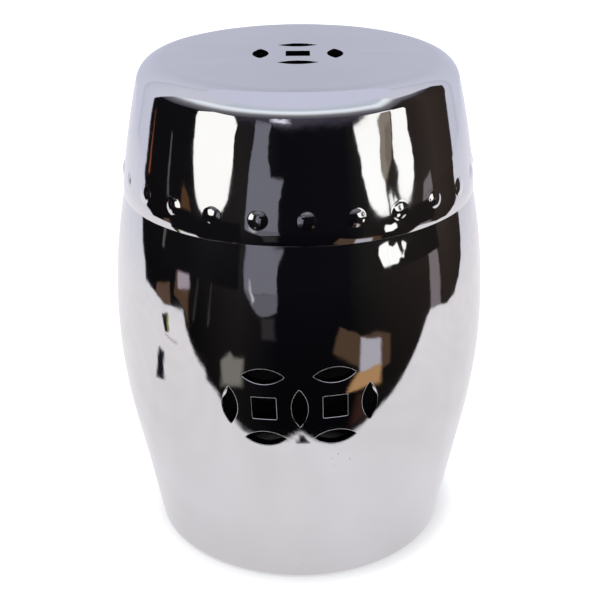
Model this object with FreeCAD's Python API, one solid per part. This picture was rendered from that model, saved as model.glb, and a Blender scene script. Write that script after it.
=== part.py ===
import FreeCAD, Part
import math
import os

# Ceramic garden stool: a hollow drum of glazed clay that stands on its foot ring.
# Millimetres, +Z up, origin on the floor under the middle, front towards -Y.
# Every length below can be changed by itself, and the pieces that meet follow it.

# Overall form
stool_height = 457.0
belly_radius = 171.6
belly_height = 218.8
wall = 7.5

# Barrel: how far its ends lie inside the belly, and where its straight flank
# would meet the upright through the belly
crease_height = 339.3
crease_set_in = 13.3
foot_set_in = 26.1
flank_corner_height = 166.7

# Foot ring
foot_height = 30.0
foot_taper = 3.5
foot_edge_radius = 6.0
rest_ring_width = 20.0
base_floor_width = 16.0
base_floor = 10.0
base_lift = 4.0

# Drum band: its lower edge rolls in to the crease, its shoulder rounds off to the flat top
band_roll_radius = 68.0
band_roll_height = 13.7
band_foot_set_in = 0.4
band_curve_radius = 788.0
shoulder_radius = 24.0
flat_top_set_in = 39.9

# Seat
seat_rim_width = 6.4
seat_thickness = 10.0
seat_ledge = 10.0

# Nail heads round the band
nail_count = 25
nail_above_crease = 21.0
nail_diameter = 15.5
nail_rise = 1.2
nail_root = 6.0
nail_first_angle = 2.5

# Pierced coins: four pointed leaves round a square hole
leaf_length = 36.5
leaf_width = 14.0
coin_square = 21.0
seat_coin_reach = 32.6
panel_coin_reach = 30.3
panel_height = 198.5
panel_tilt = 1.5
panel_angles = [0.0, 180.0]
cut_margin = 5.0
panel_cut_margin = 12.0

axis_start = FreeCAD.Vector(0, 0, 0)
axis_up = FreeCAD.Vector(0, 0, 1)
to_right = FreeCAD.Vector(1, 0, 0)
to_front = FreeCAD.Vector(0, -1, 0)
to_back = FreeCAD.Vector(0, 1, 0)


def point(radius, height):
    # A point of a turned outline: its distance from the axis and its height
    return FreeCAD.Vector(radius, 0, height)


def line(start, end):
    return Part.LineSegment(start, end).toShape()


def arc(centre, radius, start, end):
    # The short arc from start to end round centre
    middle = (start + end) * 0.5 - centre
    middle = centre + middle * (radius / middle.Length)
    return Part.Arc(start, middle, end).toShape()


def chain(points):
    return [line(points[i], points[i + 1]) for i in range(len(points) - 1)]


def turned(edges):
    # Turns a closed outline of edges once round the axis
    face = Part.Face(Part.Wire(edges))
    return face.revolve(axis_start, axis_up, 360)


def reach_on_circle(centre, radius, height):
    # How far out a circle lies at a height
    return centre.x + math.sqrt(radius ** 2 - (height - centre.z) ** 2)


def circles_meet(first, first_radius, second, second_radius):
    # The crossing of two circles that lies nearer the axis
    gap = second - first
    along = (gap.Length ** 2 + first_radius ** 2 - second_radius ** 2) / (2 * gap.Length)
    across = math.sqrt(first_radius ** 2 - along ** 2)
    way = gap * (1 / gap.Length)
    side = FreeCAD.Vector(way.z, 0, -way.x)
    crossings = [first + way * along + side * across, first + way * along - side * across]
    return min(crossings, key=lambda p: p.x)


def tangent_from(outside, centre, radius):
    # Where a line from an outside point touches the outer side of a circle
    gap = outside - centre
    turn = math.acos(radius / gap.Length)
    way = math.atan2(gap.z, gap.x)
    touches = [way + turn, way - turn]
    places = [centre + point(radius * math.cos(a), radius * math.sin(a)) for a in touches]
    return max(places, key=lambda p: p.x)


# Outline of the barrel: a straight flank, then one round up to the belly and one above it
foot_top = point(belly_radius - foot_set_in, foot_height)
flank_corner = point(belly_radius, flank_corner_height)
flank_way = (flank_corner - foot_top) * (1 / (flank_corner - foot_top).Length)
corner_to_belly = belly_height - flank_corner_height
flank_end = flank_corner - flank_way * corner_to_belly
lower_curve_radius = corner_to_belly / math.tan(math.acos(flank_way.z) / 2)
lower_centre = point(belly_radius - lower_curve_radius, belly_height)
crease_rise = crease_height - belly_height
upper_curve_radius = (crease_rise ** 2 + crease_set_in ** 2) / (2 * crease_set_in)
upper_centre = point(belly_radius - upper_curve_radius, belly_height)
crease_radius = belly_radius - crease_set_in
flank_end_inside = flank_end + (lower_centre - flank_end) * (wall / lower_curve_radius)
foot_inside = flank_end_inside - flank_way * ((flank_end_inside.z - foot_height) / flank_way.z)
crease_inner_radius = reach_on_circle(upper_centre, upper_curve_radius - wall, crease_height)

# Outline of the band: lower roll, side and shoulder, each running smoothly into the next
flat_top_radius = crease_radius - flat_top_set_in
seat_radius = flat_top_radius - seat_rim_width
shoulder_centre = point(flat_top_radius, stool_height - shoulder_radius)
band_foot = point(crease_radius - band_foot_set_in, crease_height + band_roll_height)
centres_apart = band_curve_radius - shoulder_radius
band_centre = circles_meet(band_foot, band_curve_radius, shoulder_centre, centres_apart)
to_shoulder = shoulder_centre - band_centre
shoulder_start = band_centre + to_shoulder * (band_curve_radius / to_shoulder.Length)
roll_centre = band_foot + (band_centre - band_foot) * (band_roll_radius / band_curve_radius)
crease_bottom = point(reach_on_circle(roll_centre, band_roll_radius, crease_height), crease_height)
ledge_height = stool_height - seat_thickness
ledge_bottom = ledge_height - wall
band_inner_radius = reach_on_circle(band_centre, band_curve_radius - wall, ledge_bottom)


def band_outer_edges():
    # The visible side of the band, from the crease to the flat top
    shoulder_end = point(flat_top_radius, stool_height)
    roll = arc(roll_centre, band_roll_radius, crease_bottom, band_foot)
    side = arc(band_centre, band_curve_radius, band_foot, shoulder_start)
    shoulder = arc(shoulder_centre, shoulder_radius, shoulder_start, shoulder_end)
    return [roll, side, shoulder]


def make_foot_ring():
    # An outer foot with a flat floor inside it that leaves the middle open
    edge_centre = point(foot_top.x - foot_taper - foot_edge_radius, foot_edge_radius)
    edge_start = point(edge_centre.x, 0)
    edge_end = tangent_from(foot_top, edge_centre, foot_edge_radius)
    rest_inner_radius = edge_centre.x - rest_ring_width
    opening_radius = rest_inner_radius - base_floor_width
    floor_top = base_lift + base_floor
    inside = [
        foot_top,
        foot_inside,
        point(foot_inside.x, floor_top),
        point(opening_radius, floor_top),
        point(opening_radius, base_lift),
        point(rest_inner_radius, base_lift),
        point(rest_inner_radius, 0),
        edge_start,
    ]
    edges = [arc(edge_centre, foot_edge_radius, edge_start, edge_end), line(edge_end, foot_top)]
    return turned(edges + chain(inside))


def make_barrel():
    # The tall wall between the foot and the crease
    belly = point(belly_radius, belly_height)
    belly_inside = point(belly_radius - wall, belly_height)
    crease = point(crease_radius, crease_height)
    top_inside = point(crease_inner_radius, crease_height)
    outside = [
        line(foot_top, flank_end),
        arc(lower_centre, lower_curve_radius, flank_end, belly),
        arc(upper_centre, upper_curve_radius, belly, crease),
        line(crease, top_inside),
    ]
    inside = [
        arc(upper_centre, upper_curve_radius - wall, top_inside, belly_inside),
        arc(lower_centre, lower_curve_radius - wall, belly_inside, flank_end_inside),
        line(flank_end_inside, foot_inside),
        line(foot_inside, foot_top),
    ]
    return turned(outside + inside)


def make_band():
    # The drum band, with a ledge inside its shoulder that carries the seat
    ledge_inner_radius = seat_radius - seat_ledge
    inside = [
        point(flat_top_radius, stool_height),
        point(seat_radius, stool_height),
        point(seat_radius, ledge_height),
        point(ledge_inner_radius, ledge_height),
        point(ledge_inner_radius, ledge_bottom),
        point(band_inner_radius, ledge_bottom),
        point(crease_inner_radius, crease_height),
        crease_bottom,
    ]
    return turned(band_outer_edges() + chain(inside))


def make_band_core():
    # The space that the band's visible side encloses, which trims the nail heads to it
    inside = [
        point(flat_top_radius, stool_height),
        point(0, stool_height),
        point(0, crease_height),
        crease_bottom,
    ]
    return turned(band_outer_edges() + chain(inside))


def leaf_face():
    # A pointed leaf in the XZ plane, tips up and down: two equal arcs that meet
    half_length = leaf_length / 2
    half_width = leaf_width / 2
    top = point(0, half_length)
    bottom = point(0, -half_length)
    right = Part.Arc(top, point(half_width, 0), bottom).toShape()
    left = Part.Arc(bottom, point(-half_width, 0), top).toShape()
    return Part.Face(Part.Wire([right, left]))


def square_face():
    half = coin_square / 2
    corners = [point(-half, -half), point(half, -half), point(half, half), point(-half, half)]
    return Part.Face(Part.makePolygon(corners + corners[:1]))


def coin_holes(coin_centres, reach):
    # Each hole of a row of coins as its place and its face; neighbours share a leaf
    holes = []
    places = set()
    for centre in coin_centres:
        holes.append((centre, 0.0, square_face()))
        for side in [-reach, reach]:
            places.add(centre + side)
            lying = leaf_face()
            lying.rotate(axis_start, to_front, 90)
            holes.append((centre, side, lying))
    for across in sorted(places):
        holes.append((across, 0.0, leaf_face()))
    return holes


def seat_cutters():
    # The seat's coin, cut straight down
    cutters = []
    for across, along, face in coin_holes([0.0], seat_coin_reach):
        tool = face.extrude(to_back * (seat_thickness + 2 * cut_margin))
        tool.rotate(axis_start, to_right, 90)
        tool.translate(FreeCAD.Vector(across, along, ledge_height - cut_margin))
        cutters.append(tool)
    return cutters


def panel_cutters(panel_angle):
    # A panel of two coins side by side, each hole cut square to the wall where it lies
    tilt = math.radians(panel_tilt)
    depth = wall + panel_cut_margin + cut_margin
    cutters = []
    for across, up, face in coin_holes([-panel_coin_reach, panel_coin_reach], panel_coin_reach):
        along_wall = across * math.cos(tilt) - up * math.sin(tilt)
        height = panel_height + across * math.sin(tilt) + up * math.cos(tilt)
        tool = face.extrude(to_back * depth)
        tool.rotate(axis_start, to_front, panel_tilt)
        tool.translate(FreeCAD.Vector(0, -belly_radius - cut_margin, height))
        tool.rotate(axis_start, axis_up, panel_angle + math.degrees(along_wall / belly_radius))
        cutters.append(tool)
    return cutters


def make_seat():
    # The round slab of the seat, pierced with one coin
    slab = Part.makeCylinder(seat_radius, seat_thickness, point(0, ledge_height), axis_up)
    return slab.cut(seat_cutters())


def make_nail_head():
    # One low dome on the band at the front, trimmed underneath to the band's round
    half = nail_diameter / 2
    dome_radius = (half ** 2 + nail_rise ** 2) / (2 * nail_rise)
    dome_centre = point(0, nail_rise - dome_radius)
    tip = point(0, nail_rise)
    rim = point(half, 0)
    sides = chain([rim, point(half, -nail_root), point(0, -nail_root), tip])
    dome = turned([arc(dome_centre, dome_radius, tip, rim)] + sides)
    nail_height = crease_height + nail_above_crease
    seat = point(reach_on_circle(band_centre, band_curve_radius, nail_height), nail_height)
    rise = math.degrees(math.asin((seat.z - band_centre.z) / band_curve_radius))
    dome.rotate(axis_start, to_back, 90 - rise)
    dome.translate(seat)
    dome = dome.cut(make_band_core())
    dome.rotate(axis_start, axis_up, -90)
    return dome


os.makedirs("parts", exist_ok=True)

barrel = make_barrel()
for angle in panel_angles:
    barrel = barrel.cut(panel_cutters(angle))

make_foot_ring().exportStep("parts/foot_ring.step")
barrel.exportStep("parts/barrel_wall.step")
make_band().exportStep("parts/drum_band.step")
make_seat().exportStep("parts/seat_disc.step")

nail_head = make_nail_head()
for number in range(nail_count):
    one = nail_head.copy()
    one.rotate(axis_start, axis_up, nail_first_angle + number * 360 / nail_count)
    one.exportStep("parts/nail_head_%02d.step" % (number + 1))
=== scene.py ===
import math

import bpy
import numpy as np
from mathutils import Matrix, Vector
from mathutils.geometry import delaunay_2d_cdt


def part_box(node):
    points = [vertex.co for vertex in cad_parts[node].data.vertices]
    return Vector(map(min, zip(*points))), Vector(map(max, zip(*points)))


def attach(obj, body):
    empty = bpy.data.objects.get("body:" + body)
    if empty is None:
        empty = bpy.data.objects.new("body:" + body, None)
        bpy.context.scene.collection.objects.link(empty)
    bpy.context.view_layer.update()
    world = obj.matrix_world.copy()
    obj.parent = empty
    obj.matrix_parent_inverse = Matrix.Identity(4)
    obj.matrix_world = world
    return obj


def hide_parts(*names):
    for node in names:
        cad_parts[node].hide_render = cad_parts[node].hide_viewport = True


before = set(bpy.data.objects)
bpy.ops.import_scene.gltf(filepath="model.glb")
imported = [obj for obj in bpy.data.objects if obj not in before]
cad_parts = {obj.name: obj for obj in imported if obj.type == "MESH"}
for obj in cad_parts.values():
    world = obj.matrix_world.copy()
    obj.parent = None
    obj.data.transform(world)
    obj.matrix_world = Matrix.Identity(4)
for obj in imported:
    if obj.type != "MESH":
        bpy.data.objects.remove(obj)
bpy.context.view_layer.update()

# Ceramic garden stool with a mirror silver glaze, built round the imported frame.
# Metres, +Z up, front towards -Y. Angles round the stool start at the front and grow towards +X.

MM = 0.001
PI2 = 2 * math.pi

# Sizes that the frame gives
STOOL_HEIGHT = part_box("drum_band")[1].z
BELLY_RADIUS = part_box("barrel_wall")[1].x
CREASE_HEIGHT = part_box("barrel_wall")[1].z
FOOT_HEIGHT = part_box("foot_ring")[1].z
FOOT_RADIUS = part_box("foot_ring")[1].x
SEAT_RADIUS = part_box("seat_disc")[1].x
SEAT_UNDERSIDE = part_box("seat_disc")[0].z

# Sizes of the outline, as in the part's source
BELLY_HEIGHT = 218.8 * MM
FLANK_CORNER_HEIGHT = 166.7 * MM
WALL = 7.5 * MM
CREASE_RADIUS = BELLY_RADIUS - 13.3 * MM
CREASE_EDGE = 0.12 * MM
GROOVE_DEPTH = 1.0 * MM
TUCK = 1.5 * MM
ROLL_RADIUS = 68 * MM
ROLL_HEIGHT = 13.7 * MM
BAND_FOOT_SET_IN = 0.4 * MM
BAND_CURVE_RADIUS = 788 * MM
SHOULDER_RADIUS = 24 * MM
FLAT_TOP_RADIUS = CREASE_RADIUS - 39.9 * MM
FOOT_TAPER = 3.5 * MM
FOOT_EDGE_RADIUS = 6 * MM
REST_RING_WIDTH = 20 * MM
BASE_FLOOR_WIDTH = 16 * MM
BASE_FLOOR = 10 * MM
BASE_LIFT = 4 * MM
LEDGE_WIDTH = 10 * MM

# Pierced coins and nail heads
LEAF_LENGTH = 36.5 * MM
LEAF_WIDTH = 14 * MM
COIN_SQUARE = 21 * MM
SEAT_REACH = 32.6 * MM
PANEL_REACH = 30.3 * MM
PANEL_HEIGHT = 198.5 * MM
PANEL_TILT = math.radians(1.5)
WINDOW_HALF_HEIGHT = 58 * MM
WINDOW_HALF_WIDTH = 78 * MM
HOLE_RIM = 0.6 * MM
RIM_FLARE = 0.3 * MM
NAIL_HEIGHT = CREASE_HEIGHT + 21 * MM
NAIL_RADIUS = 7.75 * MM
NAIL_RISE = 1.2 * MM
NAIL_SKIRT = 1.2 * MM
NAIL_KNEE = 0.9 * MM
NAIL_LIFT = 0.03 * MM
NAIL_STEP = 0.05 * MM
BURIED = 1.0 * MM
NAIL_COUNT = 25
NAIL_FIRST_ANGLE = math.radians(2.5)

# Mesh fineness
ROUND_STEPS = 720
COARSE_STEPS = ROUND_STEPS // 4
NAIL_SIDES = 48
ROW_STEP = 2.2 * MM
SEAT_STEP = 3 * MM
SEAT_SPACING = 3.2 * MM
GRID_CLEARANCE = 0.9 * MM
SEAT_CLEARANCE = 1.0 * MM

# Silver's share of the light, by which the studio's cards are set
SILVER = 0.68


def smooth(low, high, value):
    t = np.clip((value - low) / (high - low), 0, 1)
    return t * t * (3 - 2 * t)


def unit(vectors):
    return vectors / np.linalg.norm(vectors, axis=-1, keepdims=True)


def round_axis(radius, angle, *rest):
    # Places at a distance and an angle round the axis
    return np.stack([radius * np.sin(angle), -radius * np.cos(angle), *rest], -1)


# Outlines: rows of radius, height, normal outward and normal upward


def arc_rows(centre, radius, start, end, step):
    # Rows along an arc from one angle to another, in degrees above the horizon
    count = max(3, int(abs(math.radians(end - start)) * radius / step) + 1)
    angles = np.radians(np.linspace(start, end, count))
    c, s = np.cos(angles), np.sin(angles)
    return np.stack([centre[0] + radius * c, centre[1] + radius * s, c, s], 1)


def line_rows(start, end, step):
    # Rows along a straight run, with its normal on the right of the way it goes
    start, end = np.array(start), np.array(end)
    way = end - start
    length = math.hypot(*way)
    count = max(2, int(length / step) + 1)
    places = start + np.linspace(0, 1, count)[:, None] * way
    normal = np.array([way[1], -way[0]]) / length
    return np.hstack([places, np.tile(normal, (count, 1))])


def joined(parts):
    # Runs end to end, without the doubled rows where they meet
    return np.vstack([parts[0]] + [part[1:] for part in parts[1:]])


def degrees_of(centre, place):
    return math.degrees(math.atan2(place[1] - centre[1], place[0] - centre[0]))


foot_top = np.array([FOOT_RADIUS, FOOT_HEIGHT])
flank_corner = np.array([BELLY_RADIUS, FLANK_CORNER_HEIGHT])
flank_way = (flank_corner - foot_top) / np.linalg.norm(flank_corner - foot_top)
corner_to_belly = BELLY_HEIGHT - FLANK_CORNER_HEIGHT
flank_end = flank_corner - flank_way * corner_to_belly
lower_radius = corner_to_belly / math.tan(math.acos(flank_way[1]) / 2)
lower_centre = (BELLY_RADIUS - lower_radius, BELLY_HEIGHT)
crease_rise = CREASE_HEIGHT - BELLY_HEIGHT
crease_set_in = BELLY_RADIUS - CREASE_RADIUS
upper_radius = (crease_rise ** 2 + crease_set_in ** 2) / (2 * crease_set_in)
upper_centre = (BELLY_RADIUS - upper_radius, BELLY_HEIGHT)


def circles_meet(first, first_radius, second, second_radius):
    # The crossing of two circles that lies nearer the axis
    gap = np.subtract(second, first)
    length = math.hypot(*gap)
    along = (length ** 2 + first_radius ** 2 - second_radius ** 2) / (2 * length)
    across = math.sqrt(first_radius ** 2 - along ** 2)
    way = gap / length
    side = np.array([way[1], -way[0]])
    crossings = [first + way * along + side * across, first + way * along - side * across]
    return min(crossings, key=lambda p: p[0])


shoulder_centre = (FLAT_TOP_RADIUS, STOOL_HEIGHT - SHOULDER_RADIUS)
band_foot = (CREASE_RADIUS - BAND_FOOT_SET_IN, CREASE_HEIGHT + ROLL_HEIGHT)
band_centre = circles_meet(
    band_foot, BAND_CURVE_RADIUS, shoulder_centre, BAND_CURVE_RADIUS - SHOULDER_RADIUS)
roll_centre = np.add(
    band_foot, np.subtract(band_centre, band_foot) * (ROLL_RADIUS / BAND_CURVE_RADIUS))


def foot_outline(step):
    # From the rest ring's inner edge, round the foot's edge, up to the barrel
    edge_x = foot_top[0] - FOOT_TAPER - FOOT_EDGE_RADIUS
    centre = (edge_x, FOOT_EDGE_RADIUS)
    gap = np.subtract(foot_top, centre)
    touch = math.atan2(gap[1], gap[0]) - math.acos(FOOT_EDGE_RADIUS / math.hypot(*gap))
    rows = arc_rows(centre, FOOT_EDGE_RADIUS, -90, math.degrees(touch), step / 4)
    return joined([rows, line_rows(rows[-1, :2], foot_top, step)])


def barrel_outline(step):
    # Up the flank and the belly, and on past the crease to an end inside the band
    top = math.degrees(math.asin((CREASE_HEIGHT + TUCK - BELLY_HEIGHT) / upper_radius))
    flank_angle = degrees_of(lower_centre, flank_end)
    return joined([
        line_rows(foot_top, flank_end, step),
        arc_rows(lower_centre, lower_radius, flank_angle, 0, step),
        arc_rows(upper_centre, upper_radius, 0, top, step),
    ])


def band_outline(step):
    # From inside the crease, round the roll, up the side and over the shoulder to the seat
    bottom = math.degrees(math.asin(
        (CREASE_HEIGHT + CREASE_EDGE - roll_centre[1]) / ROLL_RADIUS))
    edge = np.array(roll_centre) + (ROLL_RADIUS - CREASE_EDGE) * np.array(
        [math.cos(math.radians(bottom)), math.sin(math.radians(bottom))])
    foot_angle = degrees_of(band_centre, band_foot)
    shoulder_angle = degrees_of(band_centre, shoulder_centre)
    inner = edge + [-GROOVE_DEPTH, -CREASE_EDGE]
    return joined([
        line_rows(inner, edge + [0, -CREASE_EDGE], step / 4),
        arc_rows(edge, CREASE_EDGE, -90, bottom, step / 10),
        arc_rows(roll_centre, ROLL_RADIUS, bottom, foot_angle, step / 3),
        arc_rows(band_centre, BAND_CURVE_RADIUS, foot_angle, shoulder_angle, step),
        arc_rows(shoulder_centre, SHOULDER_RADIUS, shoulder_angle, 90, step / 2),
        line_rows((FLAT_TOP_RADIUS, STOOL_HEIGHT), (SEAT_RADIUS, STOOL_HEIGHT), step),
    ])


# The hand in the clay: slow waves in the glazed surface, and a crease that isn't quite level

generator = np.random.default_rng(11)
WAVES = []
for around, upward, size in [
    (3, 1.0, 0.16), (5, 2.0, 0.11), (7, 3.0, 0.075), (9, 1.5, 0.07), (12, 5.0, 0.045),
    (16, 3.0, 0.034), (19, 8.0, 0.022), (23, 4.0, 0.020), (29, 9.0, 0.012), (36, 3.0, 0.012),
    (44, 12.0, 0.0055), (57, 5.0, 0.0050), (71, 15.0, 0.0026), (90, 4.0, 0.0028),
]:
    WAVES.append((around, upward, size * MM, *generator.uniform(0, PI2, 2)))
HAND_LEAN = 0.006
CALM_RADIUS = 0.6 * FLAT_TOP_RADIUS
WAVE_SLANT = 0.35
SLOPE_REACH = 0.4 * MM


def waves_at(angle, height):
    # How far the surface stands off its turned outline
    total = np.zeros(np.broadcast(angle, height).shape)
    for around, upward, size, turn, lift in WAVES:
        rise = np.cos(upward * PI2 * height / STOOL_HEIGHT + lift)
        total = total + size * np.cos(around * angle + turn) * rise
    return total


def turned_points(angle, rows):
    # Points of turned rows, and their normals before the waves
    places = round_axis(rows[..., 0], angle, rows[..., 1] + 0 * angle)
    return places, round_axis(rows[..., 2], angle, rows[..., 3] + 0 * angle)


def rows_at(heights, table):
    # The outline's rows at the given heights
    rows = np.stack([np.interp(heights, table[:, 1], table[:, k]) for k in range(4)], 1)
    rows[:, 1] = heights
    rows[:, 2:] = unit(rows[:, 2:])
    return rows


def hand_shaped(places, normals, strength=1.0):
    # Waves along the normal, the same for every piece, and the normals that go with them
    def moved(points):
        angle = np.arctan2(points[..., 0], -points[..., 1])
        from_axis = np.hypot(points[..., 0], points[..., 1])
        calm = np.clip(from_axis / CALM_RADIUS, 0, 1) ** 2
        return strength * calm * waves_at(angle, points[..., 2] + WAVE_SLANT * from_axis)

    up = np.zeros_like(normals)
    up[..., 2] = 1.0
    flat = np.abs(normals[..., 2]) > 0.99
    up[flat] = np.stack([-places[flat][:, 0], -places[flat][:, 1], 0 * places[flat][:, 0]], -1)
    side = np.cross(up, normals)
    side /= np.linalg.norm(side, axis=-1, keepdims=True) + 1e-12
    bent = normals
    for way in (side, np.cross(normals, side)):
        ahead, behind = moved(places + way * SLOPE_REACH), moved(places - way * SLOPE_REACH)
        bent = bent - way * ((ahead - behind) / (2 * SLOPE_REACH))[..., None]
    return places + normals * moved(places)[..., None], unit(bent)


def leaned(places):
    # The drum's crease climbs a little towards the right, and the seat stays level
    low = smooth(0, CREASE_HEIGHT, places[..., 2])
    high = smooth(0, STOOL_HEIGHT - CREASE_HEIGHT, STOOL_HEIGHT - places[..., 2])
    share = np.minimum(low, high)
    moved = places.copy()
    moved[..., 2] += HAND_LEAN * places[..., 0] * share
    return moved


# Mesh building


def new_object(name, data):
    thing = bpy.data.objects.new(name, data)
    bpy.context.scene.collection.objects.link(thing)
    return thing


class Shell:
    # Collects points with their normals, and faces, for one piece
    def __init__(self):
        self.places, self.normals, self.faces, self.material_of = [], [], [], []
        self.count = 0

    def add(self, places, normals=None):
        places = np.asarray(places, float).reshape(-1, 3)
        if normals is None:
            normals = np.zeros_like(places)
        self.places.append(places)
        self.normals.append(np.asarray(normals, float).reshape(-1, 3))
        first = self.count
        self.count += len(places)
        return first

    def face(self, corners, material=0):
        self.faces.append(corners)
        self.material_of.append(material)

    def points(self, places, normals=None):
        # Adds points and gives their numbers
        first = self.add(places, normals)
        return list(range(first, self.count))

    def sweep(self, first, rows, columns, material=0, skip=()):
        # Quads of a grid that closes round the axis
        for i in range(rows - 1):
            low, high = first + i * columns, first + (i + 1) * columns
            for j in range(columns):
                if (i, j) not in skip:
                    k = (j + 1) % columns
                    self.face((low + j, low + k, high + k, high + j), material)

    def bridge(self, lower, upper, material=0):
        # Quads between two closed loops of equal length
        for j in range(len(lower)):
            k = (j + 1) % len(lower)
            self.face((lower[j], lower[k], upper[k], upper[j]), material)

    def make(self, name, materials):
        places, normals = np.vstack(self.places), np.vstack(self.normals)
        mesh = bpy.data.meshes.new(name)
        mesh.from_pydata(places.tolist(), [], self.faces)
        mesh.polygons.foreach_set("material_index", self.material_of)
        mesh.shade_smooth()
        for material in materials:
            mesh.materials.append(material)
        mesh.update()
        own = np.zeros(len(places) * 3)
        mesh.vertex_normals.foreach_get("vector", own)
        own = own.reshape(-1, 3)
        known = np.linalg.norm(normals, axis=1) > 0.5
        own[known] = normals[known]
        mesh.normals_split_custom_set_from_vertices(own.tolist())
        piece = new_object(name, mesh)
        return piece


ANGLES = np.arange(ROUND_STEPS) * PI2 / ROUND_STEPS
COARSE_ANGLES = np.arange(COARSE_STEPS) * PI2 / COARSE_STEPS


def turned_grid(rows, strength=1.0):
    places, normals = turned_points(ANGLES, rows[:, None])
    return hand_shaped(places, normals, strength)


def turned_shell(places, normals):
    # A piece begun with its glazed side, and the number of that side's first point
    shell = Shell()
    return shell, shell.add(leaned(places), normals)


def turned_by(turn):
    c, s = math.cos(turn), math.sin(turn)
    return np.array([[c, -s], [s, c]])


def ways_between(start, end, count):
    angles = np.linspace(start, end, count)
    return np.stack([np.cos(angles), np.sin(angles)], 1)


def leaf_loop(arc_points=22, tip_points=9, tip=0.55 * MM):
    # Pointed leaf, tips left and right, counterclockwise, with small round tips
    half_length, half_width = LEAF_LENGTH / 2, LEAF_WIDTH / 2
    radius = (half_length ** 2 + half_width ** 2) / (2 * half_width)
    drop = radius - half_width
    # A tip circle of the given size touches both arcs from within
    reach = math.sqrt((radius - tip) ** 2 - drop ** 2)
    lean = math.atan2(drop, reach)
    end = ways_between(-lean, lean, tip_points)
    arc = ways_between(lean, math.pi - lean, arc_points)[1:-1]
    places = np.vstack([[reach, 0] + tip * end, [0, -drop] + radius * arc])
    halves = [turned_by(turn).T for turn in (0, math.pi)]
    normals = np.vstack([end, arc])
    return np.vstack([places @ h for h in halves]), np.vstack([normals @ h for h in halves])


def square_loop(corner=0.9 * MM, corner_points=7, side_points=10):
    half = COIN_SQUARE / 2
    ways = ways_between(0, math.pi / 2, corner_points)
    run = np.linspace(half - corner, corner - half, side_points)[1:-1]
    side = np.stack([run, np.full(len(run), half)], 1)
    places = np.vstack([half - corner + corner * ways, side])
    normals = np.vstack([ways, np.tile([0.0, 1.0], (len(run), 1))])
    quarters = [turned_by(quarter * math.pi / 2).T for quarter in range(4)]
    return np.vstack([places @ q for q in quarters]), np.vstack([normals @ q for q in quarters])


def coin_loops(centres, reach):
    # Every hole of a row of coins: its outline and outward normals, across and up
    quarter = np.array([[0.0, -1.0], [1.0, 0.0]])
    square, square_ways = square_loop()
    leaf, leaf_ways = leaf_loop()
    loops = []
    for centre in centres:
        loops.append((square + [centre, 0], square_ways))
        loops += [(leaf + [centre, side], leaf_ways) for side in (-reach, reach)]
    upright = {round(centre + side, 6) for centre in centres for side in (-reach, reach)}
    for across in sorted(upright):
        loops.append((leaf @ quarter.T + [across, 0], leaf_ways @ quarter.T))
    return loops


def inside_any(points, loops):
    # Which points lie inside one of the closed loops
    hit = np.zeros(len(points), bool)
    x, y = points[:, 0], points[:, 1]
    for loop in loops:
        inside = np.zeros(len(points), bool)
        for (x0, y0), (x1, y1) in zip(loop, np.roll(loop, -1, 0)):
            if y0 == y1:
                continue
            crosses = ((y0 > y) != (y1 > y)) & (x < (x1 - x0) * (y - y0) / (y1 - y0) + x0)
            inside ^= crosses
        hit |= inside
    return hit


def pierced_sheet(border, interior, loops, clearance):
    # Triangles between an outer border and the hole loops, through the interior points
    grown = [loop + ways * clearance for loop, ways in loops]
    holes = [loop for loop, ways in loops]
    interior = interior[~inside_any(interior, grown)]
    edges, count = [], 0
    for loop in [border, *holes]:
        edges += [(count + i, count + (i + 1) % len(loop)) for i in range(len(loop))]
        count += len(loop)
    points = np.vstack([border, *holes, interior])
    result = delaunay_2d_cdt([Vector(p) for p in points], edges, [], 0, 1e-9)
    out = np.array([tuple(v) for v in result[0]])
    if len(out) != len(points):
        raise ValueError("the pierced sheet gained or lost points")
    triangles = np.array([tuple(f) for f in result[2]])
    middles = out[triangles].mean(1)
    keep = inside_any(middles, [border]) & ~inside_any(middles, holes)
    origin = [list(o)[0] for o in result[3]]
    return points, [tuple(origin[i] for i in t) for t in triangles[keep]]


RIM_TURNS = np.linspace(0, math.pi / 2, 7)


def panel_point_maker(middle_angle, outline_rows):
    # Maps across and up on the panel to the barrel's surface
    order = np.unique(np.round(outline_rows[:, 1], 9), return_index=True)[1]
    table = outline_rows[order]

    def place(points):
        angle = middle_angle + points[:, 0] / BELLY_RADIUS
        return hand_shaped(*turned_points(angle, rows_at(points[:, 1], table)))

    return place


def window_cells(rows, middles, half, steps):
    # The grid's cells that lie in the panels' windows
    return {(i, j % steps) for middle in middles for i in rows
            for j in range(middle - half, middle + half)}


def window_border(columns, arc, heights, rows, middle, first, steps):
    # Round a window from the left end of its lowest row: places across and up, and points
    spots = [(c, rows[0]) for c in range(len(arc))]
    spots += [(len(arc) - 1, i) for i in rows[1:]]
    spots += [(c, rows[-1]) for c in range(len(arc) - 2, -1, -1)]
    spots += [(0, i) for i in rows[-2:0:-1]]
    border = np.array([(arc[c], heights[i]) for c, i in spots])
    return border, [first + i * steps + (middle + columns[c]) % steps for c, i in spots]


def roll_rim(shell, ring, place, loop, ways, outwards, settle):
    # The glaze rolls over a round rim into a hole; gives the ring where the rim ends
    for turn in RIM_TURNS:
        base, up = place(loop + ways * HOLE_RIM * (1 - math.sin(turn)))
        depth = HOLE_RIM * (1 - math.cos(turn))
        normal = up * math.cos(turn) - outwards * math.sin(turn)
        further = shell.points(settle(base - up * depth), normal)
        shell.bridge(ring, further)
        ring = further
    return ring


def pierced_back(shell, border, ids, loops):
    # The clay side of a pierced sheet, between its border and the holes
    triangles = pierced_sheet(
        border, np.zeros((0, 2)), [(loop, 0 * loop) for loop, index in loops], 0)[1]
    for loop, index in loops:
        ids = ids + index
    for a, b, c in triangles:
        shell.face((ids[a], ids[c], ids[b]), 1)


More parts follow.
